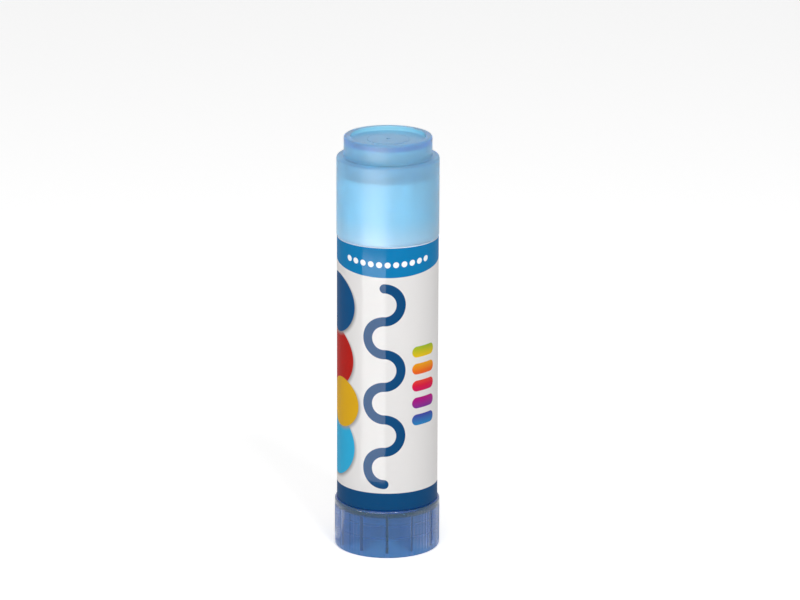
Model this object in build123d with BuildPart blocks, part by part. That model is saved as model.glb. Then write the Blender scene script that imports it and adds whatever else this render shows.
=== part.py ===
from build123d import *
import math
import os

# A twist-up glue stick standing on its knob: capped barrel, wrapped label, cast glue on a carrier, and the
# left-hand screw spindle that the knob turns to raise it. Millimetres, +Z up along the axis, origin at the
# centre of the knob's foot, printed front of the label facing -Y.

# Clearances between the pieces
running_clearance = 0.15
sliding_clearance = 0.12
cap_clearance = 0.15
seal_clearance = 0.15
thread_clearance = 0.2
key_clearance = 0.2
socket_clearance = 0.05
bedding_clearance = 0.05
bond_line = 0.02
seat_gap = 0.2
rest_gap = 0.3
glue_headroom = 0.4
cut_overrun = 1.0

# Barrel, one moulded tube with a plain body for the label and a neck for the cap
bore_radius = 12.55
body_wall = 1.7
neck_wall = 0.9
body_length = 77.3
neck_length = 17.8
mouth_chamfer = 0.35
shoulder_chamfer = 0.25
entry_chamfer = 0.5
neck_bead_height = 0.08
neck_bead_width = 1.0
neck_bead_rise = 3.0
key_count = 3
key_width = 1.2
key_height = 0.6
key_top_margin = 8.0

# Label, a film wrapped once round the body with its ends lapped at the back
label_thickness = 0.1
label_lap = 3.0

# Knob, one clear moulding: grip skirt, deck, webs, hub and the plug that snaps into the barrel
knob_height = 13.9
knob_step = 0.63
knob_wall = 1.2
knob_top_chamfer = 0.5
knob_foot_chamfer = 0.4
grip_group_count = 6
grooves_per_group = 9
groove_pitch = 0.86
groove_depth = 0.25
groove_top_margin = 1.1
groove_foot_margin = 0.9
deck_drop = 0.9
deck_thickness = 1.2
plug_length = 6.0
plug_wall = 1.1
plug_lead_in = 0.4
snap_rise = 2.6
snap_width = 1.2
snap_projection = 0.35
web_count = 12
web_thickness = 0.8
web_recess = 1.2
hub_radius = 6.0
hub_floor = 1.2
skirt_ring_height_shares = (0.40, 0.68)
skirt_ring_width = 0.3
skirt_ring_depth = 0.5

# Spindle, a screw whose thread is broken on two sides by its mould, keyed into the hub by a hexagonal foot
core_radius = 2.9
thread_radius = 4.0
thread_crest_width = 3.2
thread_flank_angle = 20
thread_embed = 0.5
thread_lead = 8.0
thread_engagement = 4.3
thread_start_rise = 1.8
thread_segment_angle = 120
thread_span_angle = 24
tip_length = 2.0
tip_chamfer = 0.6
flange_radius = 7.8
flange_thickness = 1.2
foot_across_flats = 7.4
foot_length = 9.0

# Carrier, the cup that rides on the screw and pushes the glue
carrier_height = 7.6
carrier_floor = 1.4
carrier_wall = 1.4
nut_radius = 6.4
nut_drop = 3.4
nut_segment_angle = 90
carrier_stop_margin = 2.3
carrier_web_count = 4
carrier_web_thickness = 0.9
carrier_web_drop = 1.6

# Glue, cast into the carrier round the spindle
glue_edge_chamfer = 0.6
glue_tip_cover = 0.5

# Cap, one frosted moulding with a narrower crown and a seal ring inside
cap_wall = 0.9
cap_skirt_length = 22.9
cap_shoulder_round = 0.8
cap_edge_chamfer = 0.25
shoulder_thickness = 1.1
crown_wall = 0.95
crown_height = 5.7
crown_chamfer = 0.5
rim_width = 1.95
rim_inner_chamfer = 0.3
recess_depth = 1.2
crown_top_thickness = 1.1
pad_radius = 5.9
pad_height = 0.15
gate_radius = 0.5
gate_height = 0.45
seal_wall = 0.9
seal_depth = 1.0

# Radii that follow from the bore and the walls
body_radius = bore_radius + body_wall
neck_radius = bore_radius + neck_wall
label_inner_radius = body_radius + bond_line
label_radius = label_inner_radius + label_thickness
knob_radius = label_radius + knob_step
knob_inner_radius = knob_radius - knob_wall
plug_radius = bore_radius - running_clearance
snap_radius = plug_radius + snap_projection
carrier_radius = bore_radius - sliding_clearance
cup_inner_radius = carrier_radius - carrier_wall
cap_inner_radius = neck_radius + cap_clearance
cap_radius = cap_inner_radius + cap_wall
seal_radius = bore_radius - seal_clearance
seal_inner_radius = seal_radius - seal_wall
crown_radius = seal_inner_radius + crown_wall
recess_radius = crown_radius - rim_width

# Heights that follow from the stack of pieces
deck_top = knob_height - deck_drop
deck_bottom = deck_top - deck_thickness
plug_top = deck_top + plug_length
snap_centre = deck_top + snap_rise
foot_bottom = deck_top - foot_length
hub_bottom = foot_bottom - hub_floor
flange_top = deck_top + flange_thickness
barrel_bottom = knob_height + seat_gap
body_top = barrel_bottom + body_length
mouth = body_top + neck_length
cap_bottom = body_top + seat_gap
cap_shoulder = cap_bottom + cap_skirt_length
cap_top = cap_shoulder + crown_height
recess_floor = cap_top - recess_depth
crown_ceiling = recess_floor - crown_top_thickness
shoulder_ceiling = cap_shoulder - shoulder_thickness
seal_bottom = mouth - seal_depth
glue_top = seal_bottom - glue_headroom
carrier_bottom = plug_top + rest_gap
carrier_top = carrier_bottom + carrier_height
floor_top = carrier_bottom + carrier_floor
nut_bottom = carrier_bottom - nut_drop
key_bottom = plug_top + rest_gap
key_top = mouth - key_top_margin
travel = mouth - carrier_stop_margin - carrier_top
thread_bottom = flange_top + thread_start_rise
thread_top = nut_bottom + travel + thread_engagement
spindle_top = thread_top + tip_length

os.makedirs("parts", exist_ok=True)

# Barrel: a revolved tube with the snap groove at its foot, a bead on its neck and three keys in its bore
snap_groove_radius = snap_radius + running_clearance
snap_groove_width = snap_width + 2 * seat_gap
bead_centre = body_top + neck_bead_rise
with BuildPart() as barrel:
    with BuildSketch(Plane.XZ):
        with BuildLine():
            Polyline(
                (bore_radius + entry_chamfer, barrel_bottom),
                (body_radius, barrel_bottom),
                (body_radius, body_top - shoulder_chamfer),
                (body_radius - shoulder_chamfer, body_top),
                (neck_radius, body_top),
                (neck_radius, bead_centre - neck_bead_width / 2),
                (neck_radius + neck_bead_height, bead_centre),
                (neck_radius, bead_centre + neck_bead_width / 2),
                (neck_radius, mouth - mouth_chamfer),
                (neck_radius - mouth_chamfer, mouth),
                (bore_radius, mouth),
                (bore_radius, barrel_bottom + entry_chamfer),
                close=True,
            )
        make_face()
    revolve(axis=Axis.Z)
    with BuildSketch(Plane.XZ):
        with Locations((0, snap_centre)):
            Rectangle(snap_groove_radius, snap_groove_width, align=(Align.MIN, Align.CENTER))
    revolve(axis=Axis.Z, mode=Mode.SUBTRACT)
    with BuildSketch(Plane.XY.offset(key_bottom)):
        with PolarLocations(bore_radius, key_count, start_angle=90):
            Rectangle(2 * key_height, key_width)
    extrude(amount=key_top - key_bottom)
barrel.part.label = "barrel"
export_step(barrel.part, "parts/barrel.step")

# Label: a thin wrapped film whose ends lap at the back
label_length = body_length - shoulder_chamfer
lap_angle = math.degrees(label_lap / label_radius)
with BuildPart() as label:
    with BuildSketch(Plane.XY.offset(barrel_bottom)):
        Circle(label_radius)
        Circle(label_inner_radius, mode=Mode.SUBTRACT)
    extrude(amount=label_length)
    with BuildSketch(Plane.YZ):
        with Locations((label_radius, barrel_bottom)):
            Rectangle(label_thickness, label_length, align=(Align.MIN, Align.MIN))
    revolve(axis=Axis.Z, revolution_arc=lap_angle)
label.part.label = "label"
export_step(label.part, "parts/label.step")

# Knob: skirt, deck and plug are one revolved section; webs, hub, socket and grip grooves follow
with BuildPart() as knob:
    with BuildSketch(Plane.XZ):
        with BuildLine():
            Polyline(
                (hub_radius / 2, deck_bottom),
                (knob_inner_radius, deck_bottom),
                (knob_inner_radius, 0),
                (knob_radius, 0),
                (knob_radius, knob_height),
                (knob_inner_radius, knob_height),
                (knob_inner_radius, deck_top),
                (plug_radius, deck_top),
                (plug_radius, snap_centre - snap_width / 2),
                (snap_radius, snap_centre),
                (plug_radius, snap_centre + snap_width / 2),
                (plug_radius, plug_top - plug_lead_in),
                (plug_radius - plug_lead_in, plug_top),
                (plug_radius - plug_wall, plug_top),
                (plug_radius - plug_wall, deck_top),
                (hub_radius / 2, deck_top),
                close=True,
            )
        make_face()
    revolve(axis=Axis.Z)
    skirt_corners = knob.edges().filter_by(GeomType.CIRCLE).filter_by(lambda e: e.radius == knob_radius)
    chamfer(skirt_corners.sort_by(Axis.Z)[-1:], knob_top_chamfer)
    chamfer(skirt_corners.sort_by(Axis.Z)[:1], knob_foot_chamfer)
    with BuildSketch(Plane.XZ):
        for share in skirt_ring_height_shares:
            with Locations((knob_inner_radius, share * knob_height)):
                Rectangle(2 * skirt_ring_width, skirt_ring_depth)
    revolve(axis=Axis.Z)
    with BuildSketch(Plane.XY.offset(web_recess)):
        with PolarLocations((hub_radius + knob_inner_radius) / 2, web_count):
            Rectangle(knob_inner_radius - hub_radius + knob_wall, web_thickness)
    extrude(amount=deck_bottom - web_recess + deck_thickness / 2)
    with BuildSketch(Plane.XY.offset(hub_bottom)):
        Circle(hub_radius)
    extrude(amount=deck_top - hub_bottom)
    with BuildSketch(Plane.XY.offset(foot_bottom)):
        RegularPolygon(foot_across_flats / 2 + socket_clearance, 6, major_radius=False)
    extrude(amount=foot_length + cut_overrun, mode=Mode.SUBTRACT)
    with BuildSketch(Plane.XY.offset(groove_foot_margin)):
        for group in range(grip_group_count):
            for groove in range(grooves_per_group):
                offset_angle = math.degrees((groove - (grooves_per_group - 1) / 2) * groove_pitch / knob_radius)
                with PolarLocations(knob_radius, 1, start_angle=group * 360 / grip_group_count + offset_angle):
                    RegularPolygon(groove_depth, 4)
    extrude(amount=knob_height - groove_foot_margin - groove_top_margin, mode=Mode.SUBTRACT)
knob.part.label = "knob"
export_step(knob.part, "parts/knob.step")



def screw_ridge_width(radius):
    """Axial width of the screw's ridge at a radius, from its crest and its sloping flanks."""
    return thread_crest_width + 2 * (thread_radius - radius) * math.tan(math.radians(thread_flank_angle))


def nut_ridge_width(radius):
    """Axial width of the nut's ridge at a radius: what the screw leaves free, less the clearance."""
    return thread_lead - screw_ridge_width(radius) - 2 * thread_clearance


def ridge_segment(inner_radius, outer_radius, width_at, angle):
    """One length of a left-hand ridge, lofted through sections that climb the helix as they turn."""
    spans = math.ceil(angle / thread_span_angle)
    with BuildPart() as ridge:
        for i in range(spans + 1):
            turn = angle * i / spans
            upright = Plane.XZ.rotated((0, 0, -turn))
            with BuildSketch(Plane((0, 0, thread_lead * turn / 360), upright.x_dir, upright.z_dir)):
                with BuildLine():
                    Polyline(
                        (inner_radius, -width_at(inner_radius) / 2),
                        (outer_radius, -width_at(outer_radius) / 2),
                        (outer_radius, width_at(outer_radius) / 2),
                        (inner_radius, width_at(inner_radius) / 2),
                        close=True,
                    )
                make_face()
        loft(ruled=True)
    return ridge.part


# Spindle: a hexagonal foot, a flange on the deck and a screw whose ridge is left off along both mould lines
screw_ridge = ridge_segment(core_radius - thread_embed, thread_radius, screw_ridge_width, thread_segment_angle)
half_turns = int((thread_top - thread_bottom) / (thread_lead / 2))
with BuildPart() as spindle:
    with BuildSketch(Plane.XY.offset(foot_bottom)):
        RegularPolygon(foot_across_flats / 2, 6, major_radius=False)
    extrude(amount=foot_length)
    with BuildSketch(Plane.XY.offset(deck_top)):
        Circle(flange_radius)
    extrude(amount=flange_thickness)
    with BuildSketch(Plane.XY.offset(flange_top)):
        Circle(core_radius)
    extrude(amount=spindle_top - flange_top)
    chamfer(spindle.edges().sort_by(Axis.Z)[-1:], tip_chamfer)
    for half_turn in range(half_turns):
        with Locations(Location((0, 0, thread_bottom + half_turn * thread_lead / 2), (0, 0, -180 * half_turn))):
            add(screw_ridge)
spindle.part.label = "spindle"
export_step(spindle.part, "parts/spindle.step")

# The nut's two ridges stand opposite each other, half a lead apart, in the gap of the screw
nut_core = core_radius + thread_clearance
nut_bore = thread_radius + thread_clearance
nut_ridge = ridge_segment(nut_core, nut_bore + thread_embed, nut_ridge_width, nut_segment_angle)
nut_start = (nut_bottom + carrier_top) / 2 - thread_lead * (1 + nut_segment_angle / 180) / 4
nut_start_angle = 360 * (thread_bottom + thread_lead / 2 - nut_start) / thread_lead

# Carrier: a cup with a tapped hub, webs between hub and wall, and notches that slide on the barrel's keys
notch_depth = carrier_radius - (bore_radius - key_height - key_clearance)
with BuildPart() as carrier:
    with BuildSketch(Plane.XZ):
        with BuildLine():
            Polyline(
                (nut_bore, nut_bottom),
                (nut_radius, nut_bottom),
                (nut_radius, carrier_bottom),
                (carrier_radius, carrier_bottom),
                (carrier_radius, carrier_top),
                (cup_inner_radius, carrier_top),
                (cup_inner_radius, floor_top),
                (nut_radius, floor_top),
                (nut_radius, carrier_top),
                (nut_bore, carrier_top),
                close=True,
            )
        make_face()
    revolve(axis=Axis.Z)
    with BuildSketch(Plane.XY.offset(carrier_bottom)):
        with PolarLocations((nut_radius + cup_inner_radius) / 2, carrier_web_count, start_angle=45):
            Rectangle(cup_inner_radius - nut_radius + carrier_wall, carrier_web_thickness)
    extrude(amount=carrier_height - carrier_web_drop)
    with BuildSketch(Plane.XY.offset(carrier_bottom - cut_overrun)):
        with PolarLocations(carrier_radius, key_count, start_angle=90):
            Rectangle(2 * notch_depth, key_width + 2 * key_clearance)
    extrude(amount=carrier_height + 2 * cut_overrun, mode=Mode.SUBTRACT)
    for side in range(2):
        with Locations(Location((0, 0, nut_start + side * thread_lead / 2), (0, 0, nut_start_angle - 180 * side))):
            add(nut_ridge)
carrier.part.label = "carrier"
export_step(carrier.part, "parts/carrier.step")

# Glue: cast into the cup and round the spindle, with the tracks that the barrel's keys leave in its side
glue_radius = carrier_radius
glue_hole_top = spindle_top + glue_tip_cover
with BuildPart() as glue:
    with BuildSketch(Plane.XZ):
        with BuildLine():
            Polyline(
                (nut_radius + bedding_clearance, floor_top + bedding_clearance),
                (cup_inner_radius - bedding_clearance, floor_top + bedding_clearance),
                (cup_inner_radius - bedding_clearance, carrier_top + bedding_clearance),
                (glue_radius, carrier_top + bedding_clearance),
                (glue_radius, glue_top),
                (0, glue_top),
                (0, glue_hole_top),
                (nut_bore, glue_hole_top),
                (nut_bore, carrier_top + bedding_clearance),
                (nut_radius + bedding_clearance, carrier_top + bedding_clearance),
                close=True,
            )
        make_face()
    revolve(axis=Axis.Z)
    chamfer(glue.edges().filter_by(GeomType.CIRCLE).sort_by(Axis.Z)[-1:], glue_edge_chamfer)
    with BuildSketch(Plane.XY.offset(floor_top)):
        with PolarLocations((nut_radius + cup_inner_radius) / 2, carrier_web_count, start_angle=45):
            Rectangle(cup_inner_radius - nut_radius + carrier_wall, carrier_web_thickness + 2 * bedding_clearance)
    extrude(amount=carrier_height - carrier_floor - carrier_web_drop + bedding_clearance, mode=Mode.SUBTRACT)
    with BuildSketch(Plane.XY.offset(carrier_top)):
        with PolarLocations(glue_radius, key_count, start_angle=90):
            Rectangle(2 * notch_depth, key_width + 2 * key_clearance)
    extrude(amount=key_top + key_clearance - carrier_top, mode=Mode.SUBTRACT)
glue.part.label = "glue"
export_step(glue.part, "parts/glue.step")

# Cap: a straight skirt, a narrower crown with a sunk top and a seal ring that plugs the barrel's mouth
with BuildPart() as cap:
    with BuildSketch(Plane.XZ):
        with BuildLine():
            Polyline(
                (cap_inner_radius, cap_bottom),
                (cap_radius, cap_bottom),
                (cap_radius, cap_shoulder),
                (crown_radius, cap_shoulder),
                (crown_radius, cap_top),
                (recess_radius, cap_top),
                (recess_radius, recess_floor),
                (pad_radius, recess_floor),
                (pad_radius, recess_floor + pad_height),
                (0, recess_floor + pad_height),
                (0, crown_ceiling),
                (seal_inner_radius, crown_ceiling),
                (seal_inner_radius, seal_bottom),
                (seal_radius, seal_bottom),
                (seal_radius, shoulder_ceiling),
                (cap_inner_radius, shoulder_ceiling),
                close=True,
            )
        make_face()
    revolve(axis=Axis.Z)
    rings = cap.edges().filter_by(GeomType.CIRCLE)
    fillet(rings.filter_by(lambda e: e.radius == cap_radius).sort_by(Axis.Z)[-1:], cap_shoulder_round)
    chamfer(rings.filter_by(lambda e: e.radius == crown_radius).sort_by(Axis.Z)[-1:], crown_chamfer)
    chamfer(rings.filter_by(lambda e: e.radius == recess_radius).sort_by(Axis.Z)[-1:], rim_inner_chamfer)
    chamfer(rings.filter_by(lambda e: e.radius == cap_radius).sort_by(Axis.Z)[:1], cap_edge_chamfer)
    with BuildSketch(Plane.XY.offset(recess_floor)):
        Circle(gate_radius)
    extrude(amount=gate_height)
cap.part.label = "cap"
export_step(cap.part, "parts/cap.step")
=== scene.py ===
import logging
import math
from dataclasses import dataclass
from enum import Enum
from functools import partial
from typing import Any, Callable, Optional, Sequence

import bmesh
import bpy
import numpy as np
from mathutils import Matrix, Vector


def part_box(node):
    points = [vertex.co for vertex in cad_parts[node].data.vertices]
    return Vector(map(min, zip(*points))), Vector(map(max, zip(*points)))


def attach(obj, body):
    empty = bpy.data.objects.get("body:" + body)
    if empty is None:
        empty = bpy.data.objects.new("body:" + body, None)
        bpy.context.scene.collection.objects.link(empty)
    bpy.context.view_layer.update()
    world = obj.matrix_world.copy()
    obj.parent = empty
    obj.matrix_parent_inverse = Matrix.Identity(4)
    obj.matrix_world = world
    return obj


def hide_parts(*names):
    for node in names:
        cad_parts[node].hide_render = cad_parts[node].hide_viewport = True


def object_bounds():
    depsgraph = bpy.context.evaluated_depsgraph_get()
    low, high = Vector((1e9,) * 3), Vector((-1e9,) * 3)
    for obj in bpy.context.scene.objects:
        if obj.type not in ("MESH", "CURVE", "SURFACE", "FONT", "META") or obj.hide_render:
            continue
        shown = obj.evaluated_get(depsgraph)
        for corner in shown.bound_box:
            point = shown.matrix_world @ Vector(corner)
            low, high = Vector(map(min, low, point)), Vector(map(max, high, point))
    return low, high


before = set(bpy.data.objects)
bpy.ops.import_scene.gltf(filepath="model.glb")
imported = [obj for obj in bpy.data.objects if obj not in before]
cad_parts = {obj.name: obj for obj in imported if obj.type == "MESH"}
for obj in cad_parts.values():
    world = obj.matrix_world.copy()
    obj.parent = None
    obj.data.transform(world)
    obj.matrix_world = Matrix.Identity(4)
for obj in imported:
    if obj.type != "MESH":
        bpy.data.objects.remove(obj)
CAD_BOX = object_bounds()

# The scene is in metres. Sizes below are written in millimetres and turned to metres when a mesh is made.
MM = 0.001
# Edges that turn by more than this many degrees are shaded sharp.
SHARP_ABOVE = 28.0
# How far beside a rounding its flat sides get one more point.
SUPPORT = 0.04
# Points that lie closer than this are one.
SAME_POINT = 1e-5
# How far a cutting shape reaches past what it cuts.
OVERSHOOT = 1.0
log = logging.getLogger("glue_stick")

Faces = list[tuple[int, ...]]
Colour = tuple[float, float, float, float]
Relief = Callable[[np.ndarray, np.ndarray, np.ndarray], np.ndarray]
# Adds a node to one tree, as add_node does.
Adder = Callable[..., bpy.types.Node]


class Body(Enum):
    """The bodies that the CAD model moves."""

    BARREL = "barrel"
    KNOB = "knob"
    GLUE = "glue"
    CAP = "cap"


class Join(Enum):
    """How a tool shape changes a moulding."""

    ADD = "UNION"
    CUT = "DIFFERENCE"


@dataclass(frozen=True)
class Span:
    """Where a CAD node stands, in millimetres.

    Args:
        bottom: height of its lowest point.
        top: height of its highest point.
        radius: its reach from the stick's axis.
    """

    bottom: float
    top: float
    radius: float

    @classmethod
    def of(cls, node: str) -> "Span":
        """Measure a CAD node at rest.

        Args:
            node: the node's name.

        Returns:
            Where it stands.
        """
        low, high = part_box(node)
        return cls(low.z / MM, high.z / MM, high.x / MM)


def linear(hex_colour: str) -> Colour:
    """Turn an sRGB hex colour to linear values.

    Args:
        hex_colour: such as "#0080BB".

    Returns:
        Red, green, blue and 1, where c is (c + 0.055) / 1.055 to the power 2.4, or c / 12.92 in the darks.
    """
    parts = np.array([int(hex_colour[i : i + 2], 16) for i in (1, 3, 5)]) / 255
    values = np.where(parts <= 0.04045, parts / 12.92, ((parts + 0.055) / 1.055) ** 2.4)
    return (*map(float, values), 1.0)


WHITE = linear("#FFFFFF")


def add_node(
    tree: bpy.types.NodeTree, kind: str, *values: Any, named: Optional[dict[str, Any]] = None, **settings: Any
) -> bpy.types.Node:
    """Add a shader node with its settings and links.

    A value is a number, a colour, a socket, or a node, which stands for its first visible output.

    Args:
        tree: the material's or the world's node tree.
        kind: the node's type name without its "ShaderNode" start.
        values: what feeds the visible sockets, in their order.
        named: what feeds single sockets, by their names.
        settings: the node's own properties.

    Returns:
        The new node.
    """
    node = tree.nodes.new("ShaderNode" + kind)
    for name, setting in settings.items():
        setattr(node, name, setting)
    visible = [socket for socket in node.inputs if socket.enabled]
    feeds = [*zip(visible, values), *((node.inputs[name], value) for name, value in (named or {}).items())]
    for socket, value in feeds:
        if isinstance(value, bpy.types.Node):
            value = next(output for output in value.outputs if output.enabled)
        if isinstance(value, bpy.types.NodeSocket):
            tree.links.new(value, socket)
        else:
            socket.default_value = value
    return node


def rounded(corners: Sequence[tuple[float, float, float]], closed: bool = True, steps: int = 7) -> np.ndarray:
    """Round the corners of an outline.

    With a and b the unit directions of the sides before and after a corner and w the angle between them,
    the arc starts r tan(w / 2) before the corner. Its point at turn t is centre - n r cos(t) + a r sin(t),
    where n points from the side to the centre. One more point on each side, a little before and after the
    arc, keeps the shading of the flat sides flat. A corner with no rounding stays one point.

    Args:
        corners: radius, height and rounding of each corner, in millimetres.
        closed: whether the last corner joins the first; if not, both ends lie on the axis and stay sharp.
        steps: points on each arc.

    Returns:
        The outline's points, one row each of radius and height.
    """
    data = np.array(corners, float)
    point, rounding = data[:, :2], data[:, 2]
    before, ahead = point - np.roll(point, 1, 0), np.roll(point, -1, 0) - point
    a, b = (side / np.linalg.norm(side, axis=1, keepdims=True) for side in (before, ahead))
    turn_side = a[:, 0] * b[:, 1] - a[:, 1] * b[:, 0]
    turn = np.arccos(np.clip((a * b).sum(1), -1, 1))
    reach = rounding * np.tan(turn / 2)
    n = np.stack([-a[:, 1], a[:, 0]], 1) * np.where(turn_side < 0, -1, 1)[:, None]
    start = point - a * reach[:, None]
    centre = start + n * rounding[:, None]
    angle = (turn[:, None] * np.linspace(0, 1, steps)[None])[..., None]
    radius = rounding[:, None, None]
    arc = centre[:, None] - n[:, None] * radius * np.cos(angle) + a[:, None] * radius * np.sin(angle)
    lead_in = (start - a * SUPPORT)[:, None]
    lead_out = (point + b * (reach + SUPPORT)[:, None])[:, None]
    rows = np.concatenate([lead_in, arc, lead_out], 1)
    sharp = rounding == 0
    if not closed:
        sharp[[0, -1]] = True
    rows[sharp] = point[sharp][:, None]
    path = rows.reshape(-1, 2)
    following = np.roll(path, -1, 0) if closed else np.vstack([path[1:], path[-1:] + 1])
    return path[np.linalg.norm(following - path, axis=1) > SAME_POINT]


def revolved(
    outline: np.ndarray, columns: int, closed: bool = True, relief: Optional[Relief] = None
) -> tuple[np.ndarray, Faces]:
    """Carry an outline round the stick's axis.

    Point i of the outline at turn t becomes (r cos t, r sin t, z), where r is its radius plus the relief.

    Args:
        outline: rows of radius and height.
        columns: how many steps the full turn takes.
        closed: whether the outline closes on itself; if not, it ends on the axis.
        relief: gives what is added to the radius, from arrays of turn, radius and height.

    Returns:
        Points as rows of x, y, z, and faces as point numbers.
    """
    rows = len(outline)
    turn = np.linspace(0, 2 * math.pi, columns, endpoint=False)[None]
    radius = np.repeat(outline[:, :1], columns, 1)
    height = np.repeat(outline[:, 1:], columns, 1)
    if relief is not None:
        radius = radius + relief(turn, radius, height)
    points = np.stack([radius * np.cos(turn), radius * np.sin(turn), height], 2).reshape(-1, 3)
    i, j = np.meshgrid(np.arange(rows if closed else rows - 1), np.arange(columns), indexing="ij")
    here, above = i * columns, (i + 1) % rows * columns
    next_j = (j + 1) % columns
    return points, np.stack([here + j, here + next_j, above + next_j, above + j], 2).reshape(-1, 4).tolist()


def ring_of_boxes(
    count: int, inner: float, outer: float, width: float, bottom: float, top: float, first: float = 0.0
) -> tuple[np.ndarray, Faces]:
    """Stand boxes like spokes round the axis.

    A corner at reach r and side s of the spoke at angle t is (r cos t - s sin t, r sin t + s cos t, z).

    Args:
        count: how many boxes.
        inner: where each starts, from the axis.
        outer: where each ends.
        width: across the spoke.
        bottom: lowest height.
        top: highest height.
        first: angle of the first spoke from +X, in degrees.

    Returns:
        Points and faces of all the boxes.
    """
    angle = np.radians(first + 360 * np.arange(count) / count)[:, None]
    reach = np.array([inner, outer, outer, inner] * 2)[None]
    side = np.array([-1, -1, 1, 1] * 2)[None] * width / 2
    height = np.repeat([bottom, top], 4)[None] + 0 * angle
    x = reach * np.cos(angle) - side * np.sin(angle)
    y = reach * np.sin(angle) + side * np.cos(angle)
    one = np.array([[3, 2, 1, 0], [4, 5, 6, 7], [0, 1, 5, 4], [1, 2, 6, 5], [2, 3, 7, 6], [3, 0, 4, 7]])
    faces = one[None] + 8 * np.arange(count)[:, None, None]
    return np.stack([x, y, height], 2).reshape(-1, 3), faces.reshape(-1, 4).tolist()


def prism(sides: int, across_flats: float, bottom: float, top: float) -> tuple[np.ndarray, Faces]:
    """Stand a regular prism on the axis, with a corner towards +X.

    Corner i is at angle 2 pi i / sides, and half the flats' distance / cos(pi / sides) from the axis.

    Args:
        sides: number of its sides.
        across_flats: distance between opposite sides.
        bottom: lowest height.
        top: highest height.

    Returns:
        Points and faces.
    """
    angle = 2 * math.pi * np.arange(sides) / sides
    reach = across_flats / 2 / math.cos(math.pi / sides)
    ring = np.stack([reach * np.cos(angle), reach * np.sin(angle)], 1)
    points = np.vstack([np.column_stack([ring, np.full(sides, z)]) for z in (bottom, top)])
    walls = [(i, (i + 1) % sides, sides + (i + 1) % sides, sides + i) for i in range(sides)]
    return points, [tuple(reversed(range(sides))), tuple(range(sides, 2 * sides)), *walls]


def add_object(name: str, data: bpy.types.ID) -> bpy.types.Object:
    """Put a mesh, a lamp or a camera into the scene at the origin."""
    thing = bpy.data.objects.new(name, data)
    bpy.context.scene.collection.objects.link(thing)
    return thing


def shade(mesh: bpy.types.Mesh, sharp_above: float = SHARP_ABOVE) -> None:
    """Shade a mesh smooth, but for the edges that turn by more than so many degrees."""
    mesh.shade_smooth()
    mesh.set_sharp_from_angle(angle=math.radians(sharp_above))


def paint(piece: bpy.types.Object, material: bpy.types.Material) -> None:
    """Make a material the only one of a piece."""
    piece.data.materials.clear()
    piece.data.materials.append(material)


def make_piece(
    name: str, points: np.ndarray, faces: Faces, sharp_above: float = SHARP_ABOVE
) -> bpy.types.Object:
    """Make a mesh object from millimetre points.

    Args:
        name: the piece's name.
        points: rows of x, y, z in millimetres.
        faces: point numbers of each face.
        sharp_above: edges that turn by more than this many degrees are shaded sharp.

    Returns:
        The object, at the origin, with doubles merged and faces outwards.
    """
    mesh = bpy.data.meshes.new(name)
    mesh.from_pydata((points * MM).tolist(), [], faces)
    form = bmesh.new()
    form.from_mesh(mesh)
    bmesh.ops.remove_doubles(form, verts=form.verts, dist=SAME_POINT * MM)
    bmesh.ops.recalc_face_normals(form, faces=form.faces)
    form.to_mesh(mesh)
    form.free()
    shade(mesh, sharp_above)
    return add_object(name, mesh)


def combine(
    piece: bpy.types.Object, tool: bpy.types.Object, how: Join, sharp_above: float = SHARP_ABOVE
) -> None:
    """Fuse a tool shape with a piece, or cut it out, and remove the tool.

    Args:
        piece: the moulding, whose mesh is replaced by the result.
        tool: the closed shape to add or cut.
        how: whether it is added or cut.
        sharp_above: edges that turn by more than this many degrees are shaded sharp.
    """
    modifier = piece.modifiers.new("join", "BOOLEAN")
    modifier.operation = how.value
    modifier.object = tool
    modifier.solver = "MANIFOLD"
    graph = bpy.context.evaluated_depsgraph_get()
    result = bpy.data.meshes.new_from_object(piece.evaluated_get(graph), depsgraph=graph)
    piece.modifiers.clear()
    old = piece.data
    piece.data = result
    result.name = old.name
    for mesh in (old, tool.data):
        bpy.data.meshes.remove(mesh)
    shade(result, sharp_above)


def dress(
    piece: bpy.types.Object, material: bpy.types.Material, body: Body, slot: str, *nodes: str
) -> None:
    """Give a new piece its material, its body and the CAD nodes that it stands for.

    Args:
        piece: the new piece.
        material: its finish.
        body: what it moves with.
        slot: the record's material slot; not used.
        nodes: the CAD nodes that it replaces.
    """
    paint(piece, material)
    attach(piece, body.value)
    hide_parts(*nodes)
    faces = len(piece.data.polygons)
    log.info("%s: %d faces, rides on %s, replaces %s", piece.name, faces, body.value, nodes)


def dress_cad(node: str, material: bpy.types.Material) -> None:
    """Give a CAD node that stays in view its material.

    Args:
        node: the CAD node's name.
        material: its finish.
    """
    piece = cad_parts[node]
    paint(piece, material)
    log.info("%s: CAD node kept, %d faces", node, len(piece.data.polygons))


def new_material(name: str) -> tuple[bpy.types.Material, Adder]:
    """Start a material with an empty node tree.

    Args:
        name: the material's name.

    Returns:
        The material, and add_node for its tree.
    """
    material = bpy.data.materials.new(name)
    material.use_nodes = True
    material.node_tree.nodes.clear()
    return material, partial(add_node, material.node_tree)


def hypotenuse(node: Adder, across: Any, along: Any) -> bpy.types.Node:
    """Work out the root of the sum of two squares.

    Args:
        node: adds a node to the tree.
        across: one leg.
        along: the other leg.

    Returns:
        The node that holds the length.
    """
    squares = [node("Math", leg, leg, operation="MULTIPLY") for leg in (across, along)]
    return node("Math", node("Math", *squares, operation="ADD"), operation="SQRT")


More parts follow.
